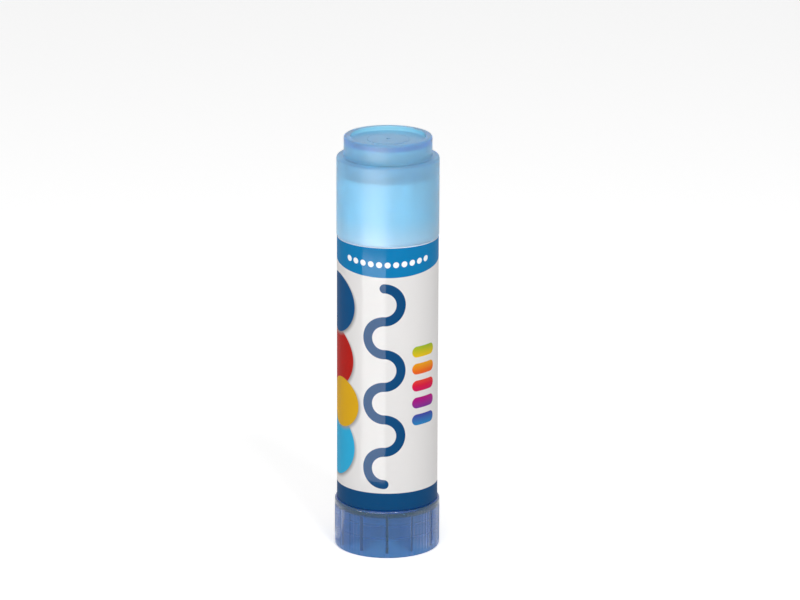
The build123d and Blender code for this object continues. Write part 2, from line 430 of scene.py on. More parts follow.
def mottled(node: Adder, colour: Any, pattern: Any, low: float, high: float) -> bpy.types.Node:
    """Darken and lighten a colour by a pattern.

    Args:
        node: adds a node to the tree.
        colour: the colour.
        pattern: what runs from 0 to 1 over the surface.
        low: the colour's factor where the pattern is 0.
        high: its factor where the pattern is 1.

    Returns:
        The node that holds the colour.
    """
    shade = node("MapRange", pattern, named={"To Min": low, "To Max": high})
    return node("VectorMath", colour, shade, operation="SCALE")


@dataclass(frozen=True)
class FrostedPolypropylene:
    """Cap: blue polypropylene moulded in a spark-eroded tool, which gives the eye a soft, milky translucence.

    Args:
        tint: colour of the wall where it is thickest.
        foot_tint_and_painted_reflection: colour at the open end, paler where less pigment lies over the white
        neck, with a lavender cast that is a painted reflection of light bounced inside the wall.
        depth_tint: colour that long paths through the wall turn to.
        depth_density: how fast they turn to it, per metre.
        frost: roughness of the frosted skin.
        clear_share: share of the light that goes through rather than back.
        shine: strength of the frosted wall's own reflection, where 0.5 is that of a polished one.
        skin_gloss: weight of the thin, smoother outer skin, which catches the light on the rounded edges.
        skin_roughness: roughness of that skin.
        flow: spacing of the moulding's flow clouds in millimetres.
        grain: size of the spark grain in millimetres, drawn three times its real size so that it shows.
        grain_depth: depth of the spark grain in millimetres.
    """

    tint: str = "#D8EDF9"
    foot_tint_and_painted_reflection: str = "#F6F1F8"
    depth_tint: str = "#50EEFF"
    depth_density: float = 560.0
    frost: float = 0.42
    clear_share: float = 0.84
    shine: float = 0.1
    skin_gloss: float = 0.15
    skin_roughness: float = 0.16
    flow: float = 6.0
    grain: float = 0.35
    grain_depth: float = 0.03

    def material(self, foot: float, fade_end: float) -> bpy.types.Material:
        """Build the node tree.

        Args:
            foot: height of the open end in millimetres.
            fade_end: height where the full tint is reached.

        Returns:
            The material.
        """
        material, node = new_material("frosted_polypropylene")
        place = node("TexCoord").outputs["Object"]
        height = node("SeparateXYZ", place).outputs["Z"]
        fade = node("MapRange", height, foot * MM, fade_end * MM, interpolation_type="SMOOTHSTEP")
        # Paler towards the foot where the wall is thinner; the lavender cast there is a painted reflection.
        colour = node("Mix", fade, linear(self.foot_tint_and_painted_reflection), linear(self.tint), data_type="RGBA")
        flow = node("TexNoise", place, named={"Scale": 1 / (self.flow * MM), "Detail": 3.0})
        spark = node("TexNoise", place, named={"Scale": 1 / (self.grain * MM)})
        rough = node("MapRange", flow, named={"To Min": self.frost - 0.05, "To Max": self.frost + 0.05})
        bump = node("Bump", named={"Height": spark, "Strength": 0.12, "Distance": self.grain_depth * MM})
        skin = node("BsdfPrincipled", named={
            "Base Color": mottled(node, colour, flow, 0.96, 1.04),
            "Roughness": rough,
            "Normal": bump,
            "IOR": 1.49,
            "Specular IOR Level": self.shine,
            "Transmission Weight": self.clear_share,
            "Coat Weight": self.skin_gloss,
            "Coat Roughness": self.skin_roughness,
            "Coat IOR": 1.45,
        })
        node("OutputMaterial", skin, node("VolumeAbsorption", linear(self.depth_tint), self.depth_density))
        return material


@dataclass(frozen=True)
class ClearPolystyrene:
    """Knob: blue crystal polystyrene from a polished tool, which gives the eye a hard, deep gloss.

    The faces inside the skirt come from the core, which isn't polished, and are a little milky. The webs'
    faces are near white: partly milky, and partly a painted glow that stands in for light carried along them.

    Args:
        tint: colour of its skin.
        depth_tint: colour that paths through the wall turn to.
        depth_density: how fast they turn to it, per metre.
        gloss: roughness of the polished skin.
        clear_share: share of the light that goes through rather than back.
        shine: strength of the skin's own reflection, where 0.5 is that of a bare polished skin.
        flow_mark: spacing of the moulding's flow marks in millimetres.
        core_tint: colour of the core side's skin.
        core_clear_share: share of the light that goes through that skin.
        core_roughness: its roughness, as spark-eroded steel leaves it.
        web_tint_and_painted_glow: colour of the webs' faces, near white: partly milky, partly a painted glow.
        web_clear_share: share of the light that goes through them.
        margins: how far past the skirt's inside, the deck's underside and a web's face a point still counts
            as theirs, in millimetres.
    """

    tint: str = "#48A2CC"
    depth_tint: str = "#3462F2"
    depth_density: float = 310.0
    gloss: float = 0.11
    clear_share: float = 0.86
    shine: float = 0.22
    flow_mark: float = 2.5
    core_tint: str = "#8CD4F6"
    core_clear_share: float = 0.55
    core_roughness: float = 0.35
    web_tint_and_painted_glow: str = "#E0F2FF"
    web_clear_share: float = 0.2
    margins: tuple[float, float, float] = (0.06, 0.1, 0.05)

    def material(self, core_radius: float, core_top: float, web_count: int, web: float) -> bpy.types.Material:
        """Build the node tree.

        A point is on the core side where its radius and height are under the core's. It is on a web where its
        distance from the nearest web's middle plane, r sin(angle to that plane), is under half the thickness.

        Args:
            core_radius: inside of the skirt in millimetres.
            core_top: underside of the deck.
            web_count: how many webs there are, the first towards +X.
            web: their thickness.

        Returns:
            The material.
        """
        material, node = new_material("clear_blue_polystyrene")
        place = node("TexCoord").outputs["Object"]
        x, y, z = node("SeparateXYZ", place).outputs
        past_skirt, past_deck, past_web = self.margins
        radius = hypotenuse(node, x, y)
        within = node("Math", radius, (core_radius + past_skirt) * MM, operation="LESS_THAN")
        below = node("Math", z, (core_top + past_deck) * MM, operation="LESS_THAN")
        on_core = node("Math", within, below, operation="MULTIPLY")
        around = node("Math", y, x, operation="ARCTAN2")
        turn = node("Math", around, math.pi / web_count, operation="PINGPONG")
        from_web = node("Math", radius, node("Math", turn, operation="SINE"), operation="MULTIPLY")
        near_web = node("Math", from_web, (web / 2 + past_web) * MM, operation="LESS_THAN")
        on_web = node("Math", on_core, near_web, operation="MULTIPLY")

        side = node("Mix", on_core, linear(self.tint), linear(self.core_tint), data_type="RGBA")
        # The webs' near white is partly milkiness and partly a painted glow of light carried along them.
        colour = node("Mix", on_web, side, linear(self.web_tint_and_painted_glow), data_type="RGBA")
        core_step = self.core_clear_share - self.clear_share
        web_step = self.web_clear_share - self.core_clear_share
        share = node("Math", on_core, core_step, self.clear_share, operation="MULTIPLY_ADD")
        share = node("Math", on_web, web_step, share, operation="MULTIPLY_ADD")
        flow = node("TexNoise", place, named={"Scale": 1 / (self.flow_mark * MM), "Detail": 2.0})
        polish = node("MapRange", flow, named={"To Min": self.gloss - 0.03, "To Max": self.gloss + 0.05})
        rough = node("Math", on_core, self.core_roughness - self.gloss, polish, operation="MULTIPLY_ADD")
        bump = node("Bump", named={"Height": flow, "Strength": 0.04, "Distance": 0.05 * MM})
        skin = node("BsdfPrincipled", named={
            "Base Color": colour,
            "Roughness": rough,
            "Normal": bump,
            "IOR": 1.59,
            "Specular IOR Level": self.shine,
            "Transmission Weight": share,
        })
        node("OutputMaterial", skin, node("VolumeAbsorption", linear(self.depth_tint), self.depth_density))
        return material


@dataclass(frozen=True)
class WhitePolypropylene:
    """Barrel, carrier and spindle: white polypropylene as it comes from the tool, a soft waxy gloss.

    Args:
        name: the material's name.
        colour: its white.
        gloss: roughness.
        waviness: size of the slow sink marks in millimetres.
        sink_depth: their depth.
        scatter: how far light spreads under the skin in millimetres.
    """

    name: str = "white_polypropylene"
    colour: str = "#EDEEF0"
    gloss: float = 0.32
    waviness: float = 9.0
    sink_depth: float = 0.1
    scatter: float = 0.6

    def material(self) -> bpy.types.Material:
        """Build the node tree.

        Returns:
            The material.
        """
        material, node = new_material(self.name)
        place = node("TexCoord").outputs["Object"]
        sink = node("TexNoise", place, named={"Scale": 1 / (self.waviness * MM), "Detail": 4.0})
        rough = node("MapRange", sink, named={"To Min": self.gloss - 0.06, "To Max": self.gloss + 0.06})
        bump = node("Bump", named={"Height": sink, "Strength": 0.2, "Distance": self.sink_depth * MM})
        skin = node("BsdfPrincipled", named={
            "Base Color": mottled(node, linear(self.colour)[:3], sink, 0.97, 1.02),
            "Roughness": rough,
            "Normal": bump,
            "IOR": 1.49,
            "Subsurface Weight": 0.15,
            "Subsurface Radius": (1.0, 0.95, 0.9),
            "Subsurface Scale": self.scatter * MM,
        })
        node("OutputMaterial", skin)
        return material


@dataclass(frozen=True)
class CastGlue:
    """Glue: a soap-set adhesive cast warm into its carrier, which gives the eye a waxy, slightly damp skin.

    Args:
        colour: its off-white.
        damp: roughness of the moist skin.
        lump: size of its uneven patches in millimetres.
        wipe: spacing of the soft rings that wiping leaves, in millimetres.
        relief_depth: depth of the patches and rings in millimetres.
        scatter: how far light spreads under the skin in millimetres.
    """

    colour: str = "#F1EFE6"
    damp: float = 0.36
    lump: float = 3.0
    wipe: float = 5.655
    relief_depth: float = 0.12
    scatter: float = 1.5

    def material(self) -> bpy.types.Material:
        """Build the node tree.

        Returns:
            The material.
        """
        material, node = new_material("cast_glue")
        place = node("TexCoord").outputs["Object"]
        lumps = node("TexNoise", place, named={"Scale": 1 / (self.lump * MM), "Detail": 5.0})
        # A wave texture of scale 1 runs through 20 radians in a metre.
        scale = 2 * math.pi / (self.wipe * MM) / 20
        rings = node(
            "TexWave", place, named={"Scale": scale, "Distortion": 3.0},
            wave_type="BANDS", bands_direction="Z",
        )
        relief = node("Math", rings.outputs["Fac"], 0.25, lumps, operation="MULTIPLY_ADD")
        bump = node("Bump", named={"Height": relief, "Strength": 0.35, "Distance": self.relief_depth * MM})
        rough = node("MapRange", lumps, named={"To Min": self.damp - 0.1, "To Max": self.damp + 0.14})
        skin = node("BsdfPrincipled", named={
            "Base Color": mottled(node, linear(self.colour)[:3], lumps, 0.94, 1.03),
            "Roughness": rough,
            "Normal": bump,
            "IOR": 1.42,
            "Subsurface Weight": 0.6,
            "Subsurface Radius": (1.0, 0.9, 0.75),
            "Subsurface Scale": self.scatter * MM,
        })
        node("OutputMaterial", skin)
        return material


@dataclass(frozen=True)
class PaperDisc:
    """One printed disc of the label.

    Args:
        across: its centre round the film from the front, in millimetres, positive to the right.
        height: its centre's height.
        radius: its size.
        colour: its ink.
    """

    across: float
    height: float
    radius: float
    colour: str


@dataclass(frozen=True)
class PrintedFilm:
    """Label: glossy polypropylene film, offset printed and varnished: strips of light lie over the ink.

    The artwork is a plain design: two bands, an arc of dots, a winding trail of glue, five colour bars and
    overlapping discs. Its coordinates are the film's own, in millimetres: s round the film from the front,
    z up.

    Args:
        paper: the film's bare white.
        ink: the trail's blue.
        top_band: blue of the band under the cap.
        foot_band: blue of the band over the knob.
        dot_ink: white of the dots.
        bar_inks: colours of the bars from the lowest up, which run into each other.
        shadow: grey of the discs' printed shadows.
        shadow_shift: how far right and up of its disc a shadow lies.
        shadow_blur: half the width of a shadow's soft edge.
        skin_roughness: roughness of the ink under the varnish.
        varnish_weight: weight of the varnish's own reflection.
        varnish: its roughness.
        ripple: size of the film's slow ripples.
        ripple_depth: their depth.
        edge: half the width of the soft edge of a printed form.
        band_edge: height of the top band's lower edge at the front.
        band_wave: half of what that edge rises towards the back.
        foot_band_top: top of the foot band.
        turn_length: length of one turn of the film.
        dot_radius: size of a dot.
        dot_pitch: spacing of the dots.
        dot_reach: how far the row goes to each side.
        dot_height: its height at the front.
        trail_across: middle line of the trail.
        trail_bottom: height of its lower end.
        trail_radius: radius of its half rings.
        trail_half_width: half its width.
        trail_arcs: number of its half rings.
        bar_across: middle line of the bars.
        bar_half_length: half the length of a bar.
        bar_half_width: half its width.
        bar_pitch: spacing of the bars.
        bar_bottom: where the lowest bar's space starts.
        bar_count: number of bars.
        discs: the discs, the undermost first.
    """

    paper: str = "#E2E0DF"
    ink: str = "#004678"
    top_band: str = "#0079B2"
    foot_band: str = "#004575"
    dot_ink: str = "#F4F6F8"
    bar_inks: tuple[str, ...] = ("#1C8FC4", "#3E3C9C", "#A8127F", "#D8143C", "#E8641C", "#E8C014", "#6DB02C")
    shadow: str = "#8E8E8E"
    shadow_shift: tuple[float, float] = (0.4, -0.5)
    shadow_blur: float = 0.9
    skin_roughness: float = 0.34
    varnish_weight: float = 0.16
    varnish: float = 0.06
    ripple: float = 14.0
    ripple_depth: float = 0.12
    edge: float = 0.05
    band_edge: float = 82.6
    band_wave: float = 2.6
    foot_band_top: float = 19.2
    turn_length: float = 90.3
    dot_radius: float = 0.85
    dot_pitch: float = 2.4
    dot_reach: float = 13.2
    dot_height: float = 86.3
    trail_across: float = -0.9
    trail_bottom: float = 21.9
    trail_radius: float = 4.8
    trail_half_width: float = 1.35
    trail_arcs: int = 6
    bar_across: float = 11.6
    bar_half_length: float = 4.3
    bar_half_width: float = 1.6
    bar_pitch: float = 5.0
    bar_bottom: float = 37.8
    bar_count: int = 5
    discs: tuple[PaperDisc, ...] = (
        PaperDisc(-34.5, 70.0, 6.5, "#2FB3D9"),
        PaperDisc(-33.5, 36.0, 8.0, "#C21B16"),
        PaperDisc(-30.0, 53.0, 7.0, "#E0AE18"),
        PaperDisc(-19.5, 31.5, 9.5, "#2BA9D6"),
        PaperDisc(-19.3, 57.0, 8.8, "#B4170F"),
        PaperDisc(-15.8, 44.2, 7.2, "#D9A614"),
        PaperDisc(-18.6, 73.0, 8.6, "#004C80"),
    )

    def inside(
        self, node: Adder, distance: Any, limit: float, soft: Optional[float] = None
    ) -> bpy.types.Node:
        """Make a mask that is 1 where a distance is under a limit.

        Args:
            node: adds a node to the tree.
            distance: the distance in millimetres.
            limit: where the mask is one half.
            soft: half the width of its soft edge, which is the print's own if none is given.

        Returns:
            The node that holds the mask.
        """
        over = node("Math", distance, limit, operation="SUBTRACT")
        soft = self.edge if soft is None else soft
        return node("MapRange", over, soft, -soft, interpolation_type="SMOOTHSTEP")

    def lay_discs(self, node: Adder, film: bpy.types.Node, colour: Any) -> Any:
        """Print the discs over what is there, each over its own soft shadow.

        Args:
            node: adds a node to the tree.
            film: the film's coordinates.
            colour: what is there.

        Returns:
            The colour with the discs.
        """
        right, up = self.shadow_shift
        for disc in self.discs:
            for across, height, soft, ink in (
                (disc.across + right, disc.height + up, self.shadow_blur, self.shadow),
                (disc.across, disc.height, self.edge, disc.colour),
            ):
                gap = node("VectorMath", film, (across, height, 0), operation="DISTANCE")
                mask = self.inside(node, gap, disc.radius, soft)
                colour = node("Mix", mask, colour, linear(ink), data_type="RGBA")
        return colour

    def lay_trail(self, node: Adder, film: bpy.types.Node, colour: Any) -> bpy.types.Node:
        """Print the winding trail over what is there.

        The trail is made of half rings of one radius, stacked on its middle line, to the left and to the
        right by turns. On each side the heights are wrapped so that every ring lies at one centre, and the
        line is where the distance from that centre is near the radius. Discs round off its two ends.

        Args:
            node: adds a node to the tree.
            film: the film's coordinates.
            colour: what is there.

        Returns:
            The colour with the trail.
        """
        s, z, _ = node("SeparateXYZ", film).outputs
        ring, margin = 2 * self.trail_radius, 1.5 * self.trail_half_width
        bottom, top = self.trail_bottom, self.trail_bottom + ring * self.trail_arcs
        across = node("Math", s, self.trail_across, operation="SUBTRACT")
        right = node("Math", across, 0.0, operation="GREATER_THAN")
        left = node("Math", 1.0, right, operation="SUBTRACT")
        shifted = node("Math", z, bottom + self.trail_radius, operation="SUBTRACT")
        phase = node("Math", right, -ring, shifted, operation="MULTIPLY_ADD")
        reach = hypotenuse(node, across, node("Math", phase, ring, -ring, operation="WRAP"))
        off = node("Math", node("Math", reach, self.trail_radius, operation="SUBTRACT"), operation="ABSOLUTE")
        line = self.inside(node, off, self.trail_half_width)
        started = node("Math", z, bottom + self.trail_radius, operation="GREATER_THAN")
        unfinished = node("Math", z, top - self.trail_radius, operation="LESS_THAN")
        for mask in (
            node("Math", left, started, operation="MAXIMUM"),
            node("Math", right, unfinished, operation="MAXIMUM"),
            node("Math", z, bottom - margin, operation="GREATER_THAN"),
            node("Math", z, top + margin, operation="LESS_THAN"),
        ):
            line = node("Math", line, mask, operation="MULTIPLY")
        for end in (bottom, top):
            gap = node("VectorMath", film, (self.trail_across, end, 0), operation="DISTANCE")
            line = node("Math", line, self.inside(node, gap, self.trail_half_width), operation="MAXIMUM")
        return node("Mix", line, colour, linear(self.ink), data_type="RGBA")

    def lay_bars(self, node: Adder, film: bpy.types.Node, colour: Any) -> bpy.types.Node:
        """Print the bars over what is there.

        The heights are wrapped so that every bar lies at one centre. A bar is where the distance from its
        middle line, whose ends are drawn in by half its width, is under half its width.

        Args:
            node: adds a node to the tree.
            film: the film's coordinates.
            colour: what is there.

        Returns:
            The colour with the bars.
        """
        s, z, _ = node("SeparateXYZ", film).outputs
        half, top = self.bar_pitch / 2, self.bar_bottom + self.bar_pitch * self.bar_count
        above = node("Math", z, self.bar_bottom + half, operation="SUBTRACT")
        lap = node("Math", above, half, -half, operation="WRAP")
        off = node("Math", node("Math", s, self.bar_across, operation="SUBTRACT"), operation="ABSOLUTE")
        past = node("Math", off, self.bar_half_length - self.bar_half_width, operation="SUBTRACT")
        gap = hypotenuse(node, node("Math", past, 0.0, operation="MAXIMUM"), lap)
        bars = self.inside(node, gap, self.bar_half_width)
        for operation, limit in (("GREATER_THAN", self.bar_bottom), ("LESS_THAN", top)):
            bars = node("Math", bars, node("Math", z, limit, operation=operation), operation="MULTIPLY")
        inks = node("ValToRGB", node("MapRange", z, self.bar_bottom, top))
        stops = inks.color_ramp.elements
        for number in range(1, len(self.bar_inks) - 1):
            stops.new(number / (len(self.bar_inks) - 1))
        for stop, ink in zip(stops, self.bar_inks):
            stop.color = linear(ink)
        return node("Mix", bars, colour, inks, data_type="RGBA")

    def lay_bands(self, node: Adder, film: bpy.types.Node, colour: Any) -> bpy.types.Node:
        """Print the two bands, and the dots on the top one, over what is there.

        The top band's lower edge and the row of dots follow band_wave (1 - cos(2 pi s / turn_length)).

        Args:
            node: adds a node to the tree.
            film: the film's coordinates.
            colour: what is there.

        Returns:
            The colour with the bands.
        """
        s, z, _ = node("SeparateXYZ", film).outputs
        turn = node("Math", s, 2 * math.pi / self.turn_length, operation="MULTIPLY")
        wave = node("Math", turn, operation="COSINE")
        smile = node("Math", wave, -self.band_wave, self.band_wave, operation="MULTIPLY_ADD")
        edge = node("Math", smile, self.band_edge, operation="ADD")
        band = self.inside(node, node("Math", edge, z, operation="SUBTRACT"), 0.0)
        colour = node("Mix", band, colour, linear(self.top_band), data_type="RGBA")
        dot_side = node("Math", s, self.dot_pitch / 2, -self.dot_pitch / 2, operation="WRAP")
        row = node("Math", smile, self.dot_height, operation="ADD")
        dots = self.inside(
            node, hypotenuse(node, dot_side, node("Math", z, row, operation="SUBTRACT")), self.dot_radius
        )
        aside = node("Math", s, operation="ABSOLUTE")
        in_reach = node("Math", aside, self.dot_reach, operation="LESS_THAN")
        dots = node("Math", dots, in_reach, operation="MULTIPLY")
        colour = node("Mix", dots, colour, linear(self.dot_ink), data_type="RGBA")
        foot = self.inside(node, z, self.foot_band_top)
        return node("Mix", foot, colour, linear(self.foot_band), data_type="RGBA")

    def material(self) -> bpy.types.Material:
        """Build the node tree.

        Returns:
            The material.
        """
        material, node = new_material("printed_polypropylene_film")
        film = node("UVMap", uv_map="film_mm")
        colour: Any = linear(self.paper)
        for lay in (self.lay_discs, self.lay_trail, self.lay_bars, self.lay_bands):
            colour = lay(node, film, colour)
        place = node("TexCoord").outputs["Object"]
        ripple = node("TexNoise", place, named={"Scale": 1 / (self.ripple * MM), "Detail": 2.0})
        bump = node("Bump", named={"Height": ripple, "Strength": 0.12, "Distance": self.ripple_depth * MM})
        skin = node("BsdfPrincipled", named={
            "Base Color": colour,
            "Roughness": self.skin_roughness,
            "Normal": bump,
            "Specular IOR Level": 0.0,
            "Coat Weight": self.varnish_weight,
            "Coat Roughness": self.varnish,
            "Coat IOR": 1.5,
            "Coat Normal": bump,
        })
        node("OutputMaterial", skin)
        return material


@dataclass
class Barrel:
    """The white tube, its neck and the film wrapped round it.

    Args:
        bore_gap: gap between the bore and the glue.
        bore_flare: how far the bore's foot flares out, and up.
        neck_wall: thickness of the neck.
        neck_length: height of the neck above the body.
        bead_rise: height of the grip bead above the body.
        bead_width: the bead's height along the neck.
        bead_height: how far it stands out.
        key_count: keys in the bore.
        key_width: across a key.
        key_height: how far a key stands into the bore.
        key_bottom: height where the keys start.
        key_top_margin: where they end, below the mouth.
        film: thickness of the film.
        film_gap: how far its inner skin stays off the body.
        lap: overlap of the film's ends at the back.
        climb: length over which the film climbs onto its own end.
        hem: how far a second row of points lies from the film's edges, which keeps its shading flat.
        film_steps: points along the film up to the lap, and on the lap.
        columns: steps of a full turn.
    """

    bore_gap: float = 0.12
    bore_flare: float = 0.5
    neck_wall: float = 0.9
    neck_length: float = 17.8
    bead_rise: float = 3.0
    bead_width: float = 1.0
    bead_height: float = 0.08
    key_count: int = 3
    key_width: float = 1.2
    key_height: float = 0.6
    key_bottom: float = 19.3
    key_top_margin: float = 8.0
    film: float = 0.1
    film_gap: float = 0.01
    lap: float = 3.0
    climb: float = 0.6
    hem: float = 0.06
    film_steps: tuple[int, int] = (361, 14)
    columns: int = 288

    def __post_init__(self) -> None:
        """Measure the CAD nodes."""
        self.tube = Span.of("barrel")
        self.wrap = Span.of("label")
        self.bore = Span.of("glue").radius + self.bore_gap

    def build_tube(self) -> bpy.types.Object:
        """Build the tube: its section carried round the axis, with three keys fused into the bore.

        Returns:
            The piece.
        """
        body, bottom, mouth = self.tube.radius, self.tube.bottom, self.tube.top
        shoulder = mouth - self.neck_length
        neck = self.bore + self.neck_wall
        bead = shoulder + self.bead_rise
        outline = rounded([
            (self.bore + self.bore_flare, bottom, 0),
            (body, bottom, 0.12),
            (body, shoulder, 0.25),
            (neck, shoulder, 0.1),
            (neck, bead - self.bead_width / 2, 0.3),
            (neck + self.bead_height, bead, 0.3),
            (neck, bead + self.bead_width / 2, 0.3),
            (neck, mouth, 0.35),
            (self.bore, mouth, 0.15),
            (self.bore, bottom + self.bore_flare, 0),
        ])
        piece = make_piece("barrel_tube", *revolved(outline, self.columns))
        keys = ring_of_boxes(
            self.key_count, self.bore - self.key_height, self.bore + self.neck_wall / 2, self.key_width,
            self.key_bottom, mouth - self.key_top_margin, first=90,
        )
        combine(piece, make_piece("keys", *keys), Join.ADD)
        return piece

    def build_film(self) -> bpy.types.Object:
        """Build the film: a sheet of two skins that runs once round the body and climbs onto its own end.

        A point at length s from the front stands at turn t = s / r from the front. Its radius is that of the
        body, and before the lap's start it rises by one thickness over the climb, by the smooth step
        u u (3 - 2 u).

        Returns:
            The piece, with the UV map film_mm that holds s and z in millimetres.
        """
        outer = self.wrap.radius
        length = 2 * math.pi * outer
        start, foot, end = -length / 2, length / 2 - self.climb, length / 2 + self.lap
        before, after = self.film_steps
        s = np.concatenate([np.linspace(start, foot, before), np.linspace(length / 2, end, after)])
        low, high = self.wrap.bottom, self.wrap.top
        z = np.array([low, low + self.hem, high - self.hem, high])
        u = np.clip((s - foot) / self.climb, 0, 1)
        lift = self.film * u * u * (3 - 2 * u)
        turn = s / outer
        skins = []
        for depth in (0.0, self.film - self.film_gap):
            radius = (outer + lift - depth)[:, None] + 0 * z[None]
            x = radius * np.sin(turn)[:, None]
            y = -radius * np.cos(turn)[:, None]
            skins.append(np.stack([x, y, np.repeat(z[None], len(s), 0)], 2))
        columns, rows = len(s), len(z)
        points = np.concatenate([skin.reshape(-1, 3) for skin in skins])
        i, j = np.meshgrid(np.arange(columns - 1), np.arange(rows - 1), indexing="ij")
        corner = i * rows + j
        front = np.stack([corner, corner + rows, corner + rows + 1, corner + 1], 2).reshape(-1, 4)
        back = front[:, ::-1] + columns * rows
        rim = np.concatenate([
            np.arange(columns) * rows,
            (columns - 1) * rows + np.arange(1, rows),
            np.arange(columns - 2, -1, -1) * rows + rows - 1,
            np.arange(rows - 2, 0, -1),
        ])
        following = np.roll(rim, -1)
        side = np.stack([rim, rim + columns * rows, following + columns * rows, following], 1)
        mesh = bpy.data.meshes.new("label_film")
        mesh.from_pydata((points * MM).tolist(), [], np.concatenate([front, back, side]).tolist())
        shade(mesh)
        flat = np.tile(np.stack([np.repeat(s, rows), np.tile(z, columns)], 1), (2, 1))
        corners = np.zeros(len(mesh.loops), np.int32)
        mesh.loops.foreach_get("vertex_index", corners)
        layer = mesh.uv_layers.new(name="film_mm")
        layer.data.foreach_set("uv", flat[corners].astype(np.float32).ravel())
        return add_object("label_film", mesh)

    def build(self) -> None:
        """Build and dress the tube and its film."""
        dress(self.build_tube(), WhitePolypropylene().material(), Body.BARREL, "barrel_plastic", "barrel")
        dress(self.build_film(), PrintedFilm().material(), Body.BARREL, "label_film", "label")


